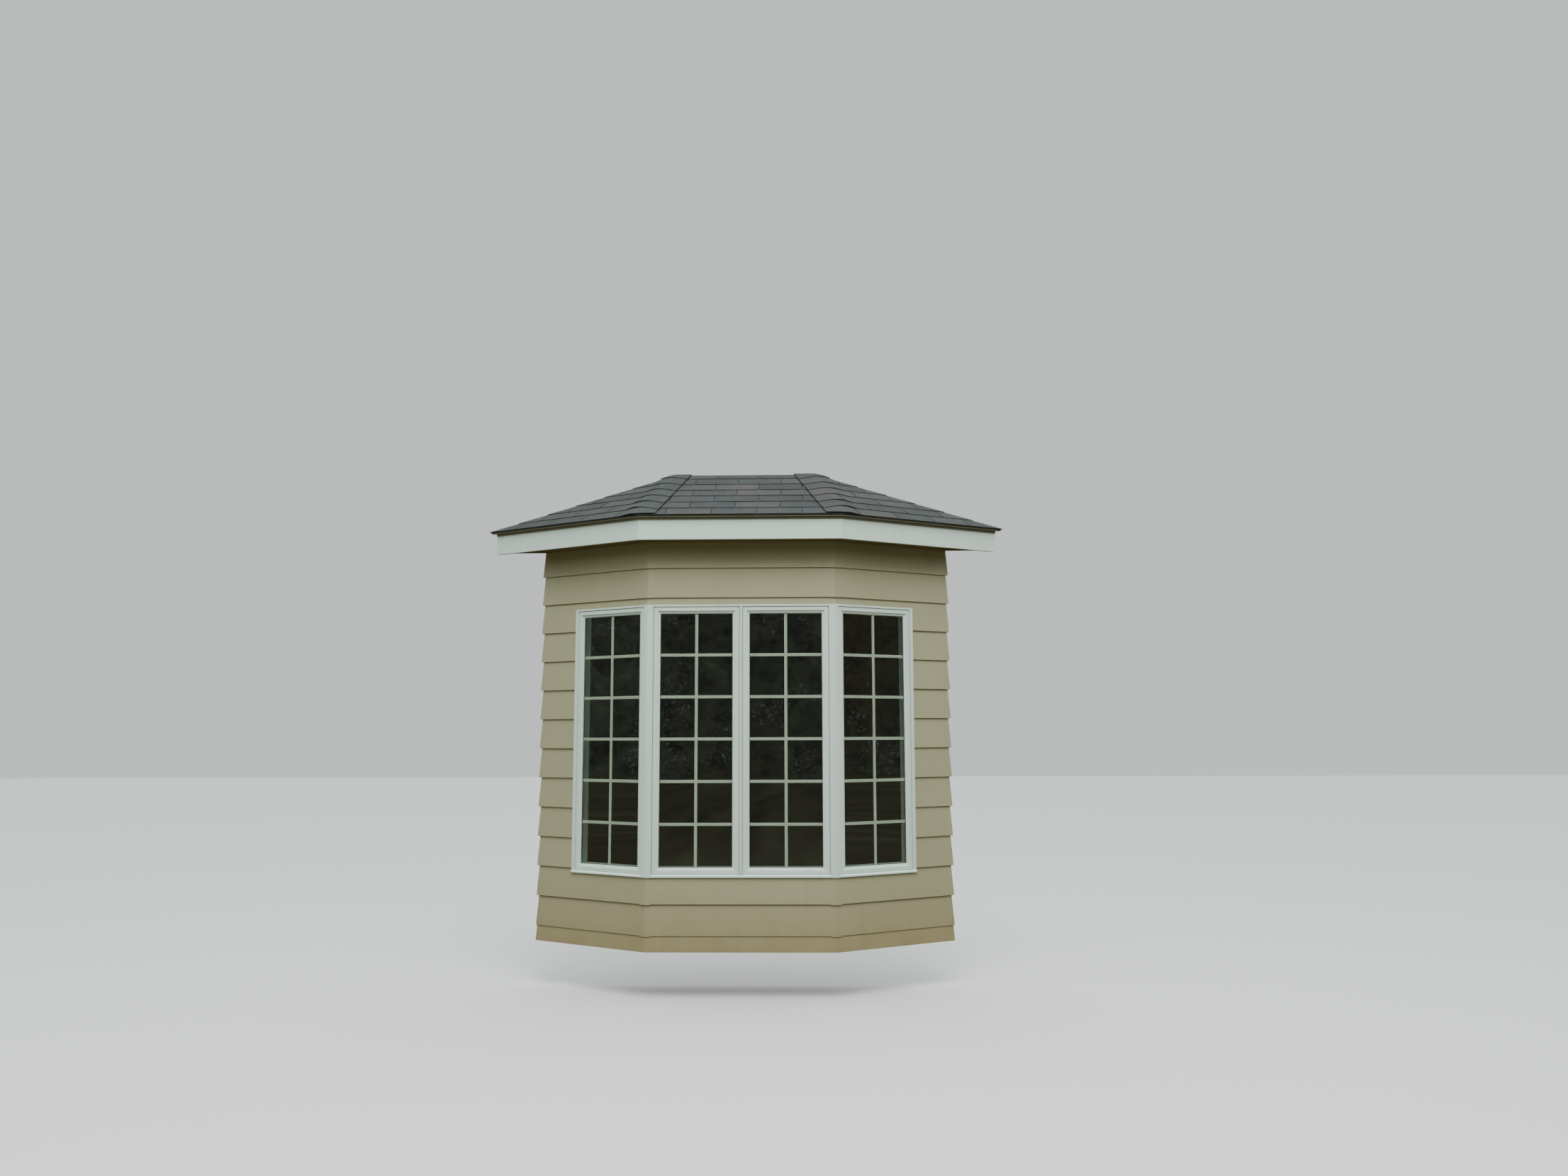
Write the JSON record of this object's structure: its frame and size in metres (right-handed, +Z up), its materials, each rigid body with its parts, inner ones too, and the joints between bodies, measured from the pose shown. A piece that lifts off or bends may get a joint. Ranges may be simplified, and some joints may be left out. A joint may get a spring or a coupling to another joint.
{
  "type": "canted bay window",
  "caption": "Canted bay with mulled casement windows, lapped siding and a hipped shingle roof, open to the room behind it, cut off at the wall face.",
  "frame": {"origin": "middle of the floor ledger's back face, where the bay is bolted to the wall", "axes": "+X to the right seen from outdoors, +Y out of the ledger into the house, +Z up"},
  "size_m": [3.726, 0.6781, 3.2939],
  "materials": {
    "lumber": "sawn softwood framing",
    "plywood": "sheathing plywood",
    "siding": "tan paint on lapped hardboard, satin",
    "corner_cap": "tan paint on folded sheet",
    "window_white": "white frame profile, slightly weathered",
    "glazing": "sealed double glazing",
    "plaster": "painted plasterboard, matt",
    "inside_trim": "white paint, satin",
    "soffit_board": "tan paint on board",
    "fascia": "white paint on board",
    "shingles": "grey mineral granules on asphalt"
  },
  "bodies": {
    "root": {"floor_ledger": "lumber", "floor_rim_front": "lumber", "floor_rim_left": "lumber", "floor_rim_right": "lumber", "floor_deck": "plywood", "underside_panel": "plywood", "knee_wall_front": "lumber", "knee_wall_left": "lumber", "knee_wall_right": "lumber", "head_wall_front": "lumber", "head_wall_left": "lumber", "head_wall_right": "lumber", "wall_post_left": "lumber", "wall_post_right": "lumber", "siding_front": "siding", "siding_left": "siding", "siding_right": "siding", "corner_caps": "corner_cap", "window_frame_front": "window_white", "window_frame_left": "window_white", "window_frame_right": "window_white", "centre_mullion": "window_white", "corner_cover_left": "window_white", "corner_cover_right": "window_white", "sash_left": "window_white", "sash_front_left": "window_white", "sash_front_right": "window_white", "sash_right": "window_white", "glass_left": "glazing", "glass_front_left": "glazing", "glass_front_right": "glazing", "glass_right": "glazing", "wall_lining": "plaster", "window_stool": "inside_trim", "window_casing": "inside_trim", "ceiling": "plaster", "ceiling_joists": "lumber", "roof_ledger": "lumber", "rafters": "lumber", "hip_rafters": "lumber", "roof_deck": "plywood", "soffit": "soffit_board", "fascia_front": "fascia", "fascia_left": "fascia", "fascia_right": "fascia", "shingles_front": "shingles", "shingles_left": "shingles", "shingles_right": "shingles"}
  },
  "joints": []
}
